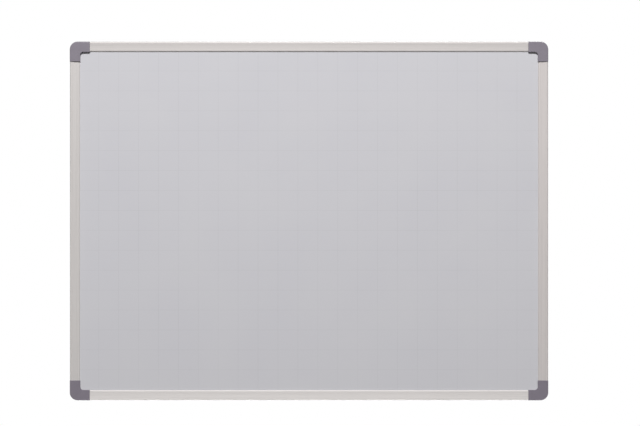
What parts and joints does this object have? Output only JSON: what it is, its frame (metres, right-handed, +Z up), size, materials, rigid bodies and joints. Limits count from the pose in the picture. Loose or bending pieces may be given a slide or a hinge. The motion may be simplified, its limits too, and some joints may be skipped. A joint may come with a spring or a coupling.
{
  "type": "framed whiteboard",
  "caption": "Wall-hung magnetic whiteboard with a faint printed grid, in a slim aluminium frame with rounded grey corner caps that pull off to reach the wall screws.",
  "frame": {"origin": "centre of the panel's rear face; the wall's plane is 1.6 mm behind it", "axes": "+X across the board to the viewer's right, +Y back into the wall, +Z up; the writing surface looks towards -Y"},
  "size_m": [1.2, 0.0174, 0.9],
  "materials": {
    "writing_sheet": "glossy white baked lacquer on steel sheet, with a faint grey printed grid of 50 mm squares",
    "core": "brown paper honeycomb between two facing papers",
    "back_sheet": "hot-dip galvanised steel sheet with a faint spangle",
    "rail": "extruded aluminium, satin anodised, with fine die lines along its length",
    "joint": "black moulded polyamide",
    "cap": "grey moulded ABS with a fine spark-eroded texture",
    "screw": "bright zinc-plated steel"
  },
  "bodies": {
    "board": {"writing_sheet": "writing_sheet", "honeycomb_core": "core", "back_sheet": "back_sheet", "rail_top": "rail", "rail_bottom": "rail", "rail_left": "rail", "rail_right": "rail", "corner_joint_top_left": "joint", "corner_joint_top_right": "joint", "corner_joint_bottom_left": "joint", "corner_joint_bottom_right": "joint", "rail_screw_top_left": "screw", "rail_screw_top_right": "screw", "rail_screw_bottom_left": "screw", "rail_screw_bottom_right": "screw", "rail_screw_left_top": "screw", "rail_screw_left_bottom": "screw", "rail_screw_right_top": "screw", "rail_screw_right_bottom": "screw"},
    "cap_top_left": {"corner_cap_top_left": "cap"},
    "cap_top_right": {"corner_cap_top_right": "cap"},
    "cap_bottom_left": {"corner_cap_bottom_left": "cap"},
    "cap_bottom_right": {"corner_cap_bottom_right": "cap"}
  },
  "joints": [
    {"name": "cap_top_left_pull", "type": "slide", "parent": "board", "child": "cap_top_left", "axis": [0, -1, 0], "range_m": [0, 0.03]},
    {"name": "cap_top_right_pull", "type": "slide", "parent": "board", "child": "cap_top_right", "axis": [0, -1, 0], "range_m": [0, 0.03]},
    {"name": "cap_bottom_left_pull", "type": "slide", "parent": "board", "child": "cap_bottom_left", "axis": [0, -1, 0], "range_m": [0, 0.03]},
    {"name": "cap_bottom_right_pull", "type": "slide", "parent": "board", "child": "cap_bottom_right", "axis": [0, -1, 0], "range_m": [0, 0.03]}
  ]
}
